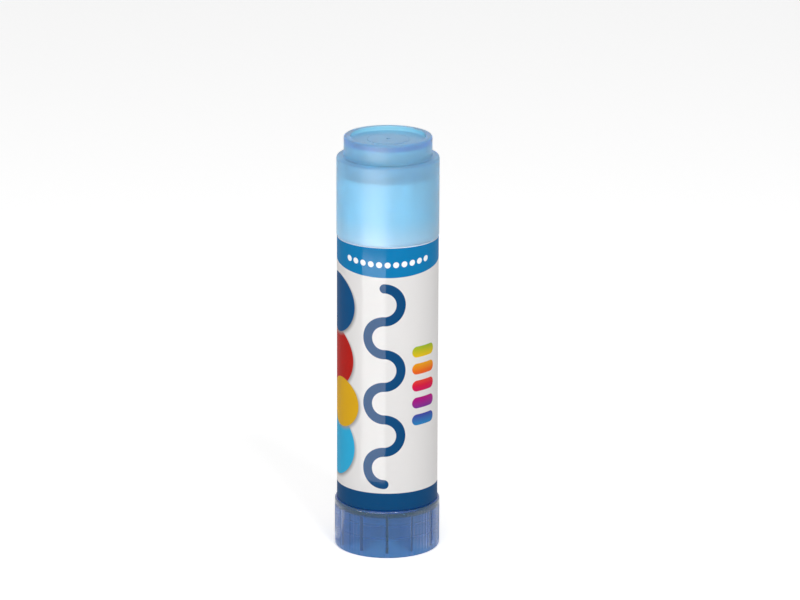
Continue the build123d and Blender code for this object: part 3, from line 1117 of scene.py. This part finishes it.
@dataclass
class Knob:
    """The clear grip at the foot, with its deck, webs, hub and plug, and the screw that stands in it.

    Args:
        height: top of the collar.
        wall: thickness of the skirt.
        deck_drop: how far the deck lies below the collar.
        deck: the deck's thickness.
        plug_radius: outside of the plug.
        plug_wall: its thickness.
        snap_rise: height of the snap ring above the deck.
        snap_width: the ring's height.
        snap_projection: how far it stands out.
        web_count: radial webs under the deck.
        web: their thickness.
        web_recess: how far they end above the foot.
        web_overlap: how far they run into the hub.
        hub: radius of the hub.
        hub_bottom: height where the hub ends.
        foot_across_flats: the hexagonal socket.
        foot_bottom: height of the socket's floor.
        group_count: groups of grip grooves.
        grooves: grooves in a group.
        pitch: spacing of the grooves.
        group_turn: degrees that the groups are turned from the webs.
        groove_depth: their depth.
        groove_bottom: height where they start.
        groove_top: height where they end.
        groove_fade: height over which they fade in and out.
        skin_depth: how far under the greatest radius a point still counts as the grip's skin.
        ring_heights: heights of the two faint rings inside the skirt.
        ring_width: a ring's height.
        ring_projection: how far it stands out.
        sharp_above: edges that turn by more than this many degrees are shaded sharp.
        columns: steps of a full turn.
    """

    height: float = 13.9
    wall: float = 1.2
    deck_drop: float = 0.9
    deck: float = 1.2
    plug_radius: float = 12.4
    plug_wall: float = 1.1
    snap_rise: float = 2.6
    snap_width: float = 1.2
    snap_projection: float = 0.35
    web_count: int = 12
    web: float = 0.8
    web_recess: float = 1.2
    web_overlap: float = 0.5
    hub: float = 6.0
    hub_bottom: float = 2.8
    foot_across_flats: float = 7.5
    foot_bottom: float = 4.0
    group_count: int = 6
    grooves: int = 10
    pitch: float = 1.15
    group_turn: float = 7.0
    groove_depth: float = 0.13
    groove_bottom: float = 1.1
    groove_top: float = 12.7
    groove_fade: float = 0.5
    skin_depth: float = 0.02
    ring_heights: tuple[float, ...] = (5.56, 9.45)
    ring_width: float = 0.6
    ring_projection: float = 0.22
    sharp_above: float = 40.0
    columns: int = 864

    def __post_init__(self) -> None:
        """Measure the CAD node and work out the deck."""
        self.span = Span.of("knob")
        self.inner = self.span.radius - self.wall
        self.deck_top = self.height - self.deck_drop
        self.deck_bottom = self.deck_top - self.deck

    def grip(self, turn: np.ndarray, radius: np.ndarray, height: np.ndarray) -> np.ndarray:
        """Give the depth of the grip grooves.

        Round each group's middle, the arc length a runs from 0 outwards. The depth is half the groove depth
        times 1 + cos(2 pi a / pitch) within the group, faded in and out by a smooth step at both ends.

        Args:
            turn: angle from +X of each column.
            radius: radius of each point.
            height: height of each point.

        Returns:
            What is added to the radius, in millimetres.
        """
        group = 2 * math.pi / self.group_count
        arc = (np.mod(turn - math.radians(self.group_turn) + group / 2, group) - group / 2) * self.span.radius
        within = np.abs(arc) < self.grooves * self.pitch / 2
        wave = 0.5 * (1 + np.cos(2 * math.pi * arc / self.pitch)) * within
        low = np.clip((height - self.groove_bottom) / self.groove_fade, 0, 1)
        high = np.clip((self.groove_top - height) / self.groove_fade, 0, 1)
        fade = np.minimum(low, high)
        outside = radius > self.span.radius - self.skin_depth
        return -self.groove_depth * wave * fade * fade * (3 - 2 * fade) * outside

    def build_moulding(self) -> bpy.types.Object:
        """Build the moulding: its section round the axis, the webs fused in and the hexagonal socket cut out.

        Returns:
            The piece.
        """
        outer, inner = self.span.radius, self.inner
        deck_top, deck_bottom = self.deck_top, self.deck_bottom
        plug_top, plug_inner = self.span.top, self.plug_radius - self.plug_wall
        snap, snap_half = deck_top + self.snap_rise, self.snap_width / 2
        fade_steps = (0, self.groove_fade / 2, self.groove_fade)
        grip_heights = [
            *(self.groove_bottom + step for step in fade_steps),
            self.height / 2,
            *(self.groove_top - step for step in reversed(fade_steps)),
        ]
        ring_steps = (
            (0, self.ring_width / 2),
            (self.ring_projection, self.ring_width / 4),
            (self.ring_projection, -self.ring_width / 4),
            (0, -self.ring_width / 2),
        )
        outline = rounded([
            (0, self.hub_bottom, 0),
            (self.hub, self.hub_bottom, 0.2),
            (self.hub, deck_bottom, 0.3),
            (inner, deck_bottom, 0.3),
            *((inner - out, z + up, 0) for z in reversed(self.ring_heights) for out, up in ring_steps),
            (inner, 0, 0.15),
            (outer, 0, 0.4),
            *((outer, z, 0) for z in grip_heights),
            (outer, self.height, 0.5),
            (inner, self.height, 0.25),
            (inner, deck_top, 0.2),
            (self.plug_radius, deck_top, 0.15),
            (self.plug_radius, snap - snap_half, 0),
            (self.plug_radius + self.snap_projection, snap, 0.1),
            (self.plug_radius, snap + snap_half, 0),
            (self.plug_radius, plug_top, 0.4),
            (plug_inner, plug_top, 0.15),
            (plug_inner, deck_top, 0.3),
            (0, deck_top, 0),
        ], closed=False, steps=4)
        body = revolved(outline, self.columns, closed=False, relief=self.grip)
        piece = make_piece("knob_moulding", *body, sharp_above=self.sharp_above)
        webs = ring_of_boxes(
            self.web_count, self.hub - self.web_overlap, inner + self.wall / 2, self.web,
            self.web_recess, deck_bottom + self.deck / 2,
        )
        socket = prism(6, self.foot_across_flats, self.foot_bottom, deck_top + OVERSHOOT)
        combine(piece, make_piece("webs", *webs), Join.ADD, self.sharp_above)
        combine(piece, make_piece("socket", *socket), Join.CUT, self.sharp_above)
        return piece

    def build(self) -> None:
        """Build and dress the knob, and dress the screw."""
        finish = ClearPolystyrene().material(self.inner, self.deck_bottom, self.web_count, self.web)
        dress(self.build_moulding(), finish, Body.KNOB, "knob_clear_plastic", "knob")
        screw = WhitePolypropylene(name="spindle_polypropylene", colour="#E6E8EA", gloss=0.28)
        dress_cad("spindle", screw.material())


@dataclass
class GlueLift:
    """The cast glue and the carrier that lifts it.

    Args:
        cup_wall: wall of the carrier's cup, which the glue stands in.
        bedding: gap between the glue and the carrier.
        cup_top: height of the cup's rim.
        floor_top: height of the cup's floor.
        nut_radius: outside of the carrier's hub.
        hole_radius: hole round the screw.
        hole_top: height where it ends.
        track_count: tracks that the barrel's keys leave.
        track_width: across a track.
        track_depth: their depth.
        track_top: height where they end.
        web_count: webs of the carrier, which the glue is cast round.
        web: their thickness.
        web_top: height where they end.
        web_overlaps: how far their slots run past the glue, into the hub's place and the cup's.
        edge: rounding of the glue's top.
        columns: steps of a full turn.
    """

    cup_wall: float = 1.4
    bedding: float = 0.05
    cup_top: float = 26.9
    floor_top: float = 20.7
    nut_radius: float = 6.4
    hole_radius: float = 4.2
    hole_top: float = 102.7
    track_count: int = 3
    track_width: float = 1.6
    track_depth: float = 0.68
    track_top: float = 101.4
    web_count: int = 4
    web: float = 1.0
    web_top: float = 25.3
    web_overlaps: tuple[float, float] = (0.4, 0.5)
    edge: float = 0.8
    columns: int = 288

    def __post_init__(self) -> None:
        """Measure the CAD node."""
        self.span = Span.of("glue")

    def build_glue(self) -> bpy.types.Object:
        """Build the glue: its section round the axis, with the tracks and the carrier's webs cut out.

        Returns:
            The piece.
        """
        radius, top = self.span.radius, self.span.top
        cup = radius - self.cup_wall - self.bedding
        seat, floor, nut = (size + self.bedding for size in (self.cup_top, self.floor_top, self.nut_radius))
        outline = rounded([
            (0, top, 0),
            (radius, top, self.edge),
            (radius, seat, 0.05),
            (cup, seat, 0.05),
            (cup, floor, 0.1),
            (nut, floor, 0.1),
            (nut, seat, 0.05),
            (self.hole_radius, seat, 0.05),
            (self.hole_radius, self.hole_top, 0.2),
            (0, self.hole_top, 0),
        ], closed=False)
        piece = make_piece("glue_mass", *revolved(outline, self.columns, closed=False))
        tracks = ring_of_boxes(
            self.track_count, radius - self.track_depth, radius + OVERSHOOT, self.track_width,
            self.cup_top - OVERSHOOT, self.track_top, first=90,
        )
        into_hub, into_cup = self.web_overlaps
        webs = ring_of_boxes(
            self.web_count, self.nut_radius - into_hub, cup + into_cup, self.web,
            self.floor_top - OVERSHOOT, self.web_top, first=45,
        )
        for name, cuts in (("tracks", tracks), ("web_slots", webs)):
            combine(piece, make_piece(name, *cuts), Join.CUT)
        return piece

    def build(self) -> None:
        """Build and dress the glue, and dress the carrier."""
        dress(self.build_glue(), CastGlue().material(), Body.GLUE, "glue_mass", "glue")
        carrier = WhitePolypropylene(name="carrier_polypropylene", colour="#EBECED", gloss=0.35)
        dress_cad("carrier", carrier.material())


@dataclass
class Cap:
    """The frosted cap with its narrower crown, sunk top and seal ring.

    Args:
        wall: wall of the skirt.
        crown_height: height of the crown above the shoulder.
        crown_radius: outside of the crown.
        rim: width of the raised rim.
        recess: how far the top is sunk.
        top: thickness of the sunk top.
        shoulder: thickness of the shoulder.
        seal_radius: outside of the seal ring.
        seal_wall: its wall.
        seal_depth: how far it reaches into the mouth.
        mouth: height of the barrel's mouth.
        pad_radius: the faint round pad on the sunk top.
        pad_height: its height.
        gate_radius: the gate nub in its middle.
        gate_height: its height.
        fade: height above the foot over which the plastic's full tint sets in.
        columns: steps of a full turn.
    """

    wall: float = 0.9
    crown_height: float = 5.7
    crown_radius: float = 12.45
    rim: float = 1.95
    recess: float = 1.2
    top: float = 1.1
    shoulder: float = 1.1
    seal_radius: float = 12.4
    seal_wall: float = 0.9
    seal_depth: float = 1.0
    mouth: float = 109.2
    pad_radius: float = 5.9
    pad_height: float = 0.15
    gate_radius: float = 0.5
    gate_height: float = 0.45
    fade: float = 8.0
    columns: int = 320

    def __post_init__(self) -> None:
        """Measure the CAD node."""
        self.span = Span.of("cap")

    def build_shell(self) -> bpy.types.Object:
        """Build the shell: its section carried round the axis.

        Returns:
            The piece.
        """
        outer, foot, top = self.span.radius, self.span.bottom, self.span.top
        inner, shoulder = outer - self.wall, top - self.crown_height
        recess_radius, floor = self.crown_radius - self.rim, top - self.recess
        pad, gate = floor + self.pad_height, floor + self.gate_height
        ceiling, under = floor - self.top, shoulder - self.shoulder
        seal_inner, seal_foot = self.seal_radius - self.seal_wall, self.mouth - self.seal_depth
        outline = rounded([
            (0, gate, 0),
            (self.gate_radius, gate, 0.25),
            (self.gate_radius, pad, 0.1),
            (self.pad_radius, pad, 0.1),
            (self.pad_radius, floor, 0.1),
            (recess_radius, floor, 0.45),
            (recess_radius, top, 0.35),
            (self.crown_radius, top, 0.6),
            (self.crown_radius, shoulder, 0.35),
            (outer, shoulder, 0.8),
            (outer, foot, 0.25),
            (inner, foot, 0.2),
            (inner, under, 0.4),
            (self.seal_radius, under, 0.3),
            (self.seal_radius, seal_foot, 0.25),
            (seal_inner, seal_foot, 0.25),
            (seal_inner, ceiling, 0.5),
            (0, ceiling, 0),
        ], closed=False)
        return make_piece("cap_shell", *revolved(outline, self.columns, closed=False))

    def build(self) -> None:
        """Build and dress the cap."""
        finish = FrostedPolypropylene().material(self.span.bottom, self.span.bottom + self.fade)
        dress(self.build_shell(), finish, Body.CAP, "cap_frosted_plastic", "cap")


@dataclass(frozen=True)
class Lamp:
    """A square soft box that faces the stick's middle.

    Args:
        name: the lamp's name.
        azimuth: degrees to the camera's right.
        elevation: degrees above the floor.
        size: its side in millimetres.
        power: watts.
    """

    name: str
    azimuth: float
    elevation: float
    size: float
    power: float


@dataclass(frozen=True)
class Card:
    """A lit card just over the floor, a wedge of a ring round the stick, that only gloss sees.

    Args:
        name: the card's name.
        start: azimuth of one end, in degrees to the camera's right.
        end: azimuth of the other end.
        near: its inner radius in millimetres.
        far: its outer radius.
        radiance: its brightness, where 1 is the white background.
        height: how far it lies over the floor.
        steps: parts of its curve.
    """

    name: str
    start: float
    end: float
    near: float
    far: float
    radiance: float
    height: float = 0.6
    steps: int = 12


@dataclass
class Studio:
    """Camera, lamps, floor, cards and background.

    The camera stands where the photograph's did, solved from the outline of the stick: it looks along +Y,
    down by the pitch and turned by the roll.

    Args:
        place: the camera's place in millimetres.
        pitch: degrees down.
        roll: degrees clockwise.
        lens: focal length in millimetres.
        sensor: width of the sensor in millimetres.
        clip: nearest and farthest distance that the camera sees, in metres.
        ambient: the even light's strength, where 1 is the white background.
        lamp_distance: from the stick's middle to each soft box, in millimetres.
        lamps: the soft boxes.
        floor_radius: size of the round floor in millimetres.
        floor_tint: its colour.
        floor_glow: what it gives off by itself, where 1 is the white background.
        cards: the lit cards, which draw the strips of light on glossy skins.
    """

    place: tuple[float, float, float] = (3.494, -1223.320, 425.238)
    pitch: float = 16.1
    roll: float = 0.2
    lens: float = 202.5
    sensor: float = 36.0
    clip: tuple[float, float] = (0.01, 20.0)
    ambient: float = 0.46
    lamp_distance: float = 900.0
    lamps: tuple[Lamp, ...] = (
        Lamp("key", azimuth=23.0, elevation=48.0, size=200.0, power=2.4),
        Lamp("fill", azimuth=-20.0, elevation=40.0, size=600.0, power=2.8),
    )
    floor_radius: float = 3000.0
    floor_tint: str = "#F6F6F6"
    floor_glow: float = 0.4
    cards: tuple[Card, ...] = (
        Card("card_for_film", start=-4.0, end=-58.0, near=80.0, far=330.0, radiance=15.0),
        Card("card_for_grip_right", start=52.0, end=76.0, near=17.0, far=44.0, radiance=2.2),
        Card("card_for_grip_left", start=-90.0, end=-106.0, near=17.0, far=44.0, radiance=2.2),
    )

    def build_camera(self) -> None:
        """Place the camera from its pitch and roll."""
        pitch, roll = math.radians(self.pitch), math.radians(self.roll)
        right, up = Vector((1, 0, 0)), Vector((0, math.sin(pitch), math.cos(pitch)))
        ahead = Vector((0, math.cos(pitch), -math.sin(pitch)))
        turned_right = math.cos(roll) * right + math.sin(roll) * up
        turned_up = math.cos(roll) * up - math.sin(roll) * right
        data = bpy.data.cameras.new("camera")
        data.lens, data.sensor_width = self.lens, self.sensor
        data.clip_start, data.clip_end = self.clip
        camera = add_object("camera", data)
        turn = Matrix((turned_right, turned_up, -ahead)).transposed().to_4x4()
        camera.matrix_world = Matrix.Translation(Vector(self.place) * MM) @ turn
        bpy.context.scene.camera = camera

    def hang(self, lamp: Lamp) -> None:
        """Hang a soft box.

        Args:
            lamp: the soft box.
        """
        data = bpy.data.lights.new(lamp.name, "AREA")
        data.size, data.energy = lamp.size * MM, lamp.power
        box = add_object(lamp.name, data)
        a, e = math.radians(lamp.azimuth), math.radians(lamp.elevation)
        out = Vector((math.sin(a) * math.cos(e), -math.cos(a) * math.cos(e), math.sin(e)))
        middle = Vector((0, 0, (CAD_BOX[0].z + CAD_BOX[1].z) / 2))
        turn = out.to_track_quat("Z", "Y").to_matrix().to_4x4()
        box.matrix_world = Matrix.Translation(middle + out * self.lamp_distance * MM) @ turn

    def seen(self, node: Adder) -> bpy.types.Node:
        """Tell the rays that show a thing from those that light others by it.

        Args:
            node: adds a node to the tree.

        Returns:
            The node that holds 1 for what is seen straight, through a clear wall or in a gloss, and 0 else.
        """
        path = node("LightPath").outputs
        straight = node("Math", path["Is Camera Ray"], path["Is Transmission Ray"], operation="MAXIMUM")
        return node("Math", straight, path["Is Glossy Ray"], operation="MAXIMUM")

    def build_floor(self) -> None:
        """Lay the floor, which shows white where no shadow falls."""
        turn = np.linspace(0, 2 * math.pi, 97)[:-1]
        ring = np.stack([np.cos(turn), np.sin(turn), 0 * turn], 1) * self.floor_radius
        floor = make_piece("floor", ring, [tuple(range(len(ring)))])
        material, node = new_material("white_floor")
        skin = node("BsdfPrincipled", named={
            "Base Color": linear(self.floor_tint),
            "Roughness": 0.9,
            "Specular IOR Level": 0.1,
            "Emission Color": WHITE,
            "Emission Strength": node("Math", self.seen(node), self.floor_glow, operation="MULTIPLY"),
        })
        node("OutputMaterial", skin)
        paint(floor, material)

    def lay(self, card: Card) -> None:
        """Lay a lit card.

        Its corner at reach r and azimuth a is (r sin a, -r cos a, height).

        Args:
            card: the card.
        """
        edge = np.radians(np.linspace(card.start, card.end, card.steps + 1))
        reach = np.array([[card.near], [card.far]])
        x, y = reach * np.sin(edge), -reach * np.cos(edge)
        points = np.stack([x, y, np.full_like(x, card.height)], 2).reshape(-1, 3)
        faces = [(i, i + 1, i + card.steps + 2, i + card.steps + 1) for i in range(card.steps)]
        piece = make_piece(card.name, points, faces)
        material, node = new_material(card.name)
        node("OutputMaterial", node("Emission", WHITE, card.radiance))
        paint(piece, material)
        for ray in ("camera", "diffuse", "shadow", "transmission"):
            setattr(piece, f"visible_{ray}", False)

    def build_world(self) -> None:
        """Light the scene evenly, and show a white background to the camera and to gloss."""
        world = bpy.data.worlds.new("studio")
        bpy.context.scene.world = world
        world.use_nodes = True
        world.node_tree.nodes.clear()
        node = partial(add_node, world.node_tree)
        strength = node("MapRange", self.seen(node), named={"To Min": self.ambient, "To Max": 1.0})
        node("OutputWorld", node("Background", WHITE, strength))

    def build(self) -> None:
        """Set up the whole studio."""
        self.build_camera()
        for lamp in self.lamps:
            self.hang(lamp)
        self.build_floor()
        for card in self.cards:
            self.lay(card)
        self.build_world()
        bpy.context.scene.view_settings.view_transform = "Standard"
        log.info("studio: camera, %d soft boxes, floor and %d cards", len(self.lamps), len(self.cards))


def main() -> None:
    """Build the stick's sub-assemblies in order, then the studio."""
    logging.basicConfig(level=logging.INFO, format="%(name)s %(message)s")
    for assembly in (Barrel(), Knob(), GlueLift(), Cap(), Studio()):
        assembly.build()


if __name__ == "__main__":
    main()
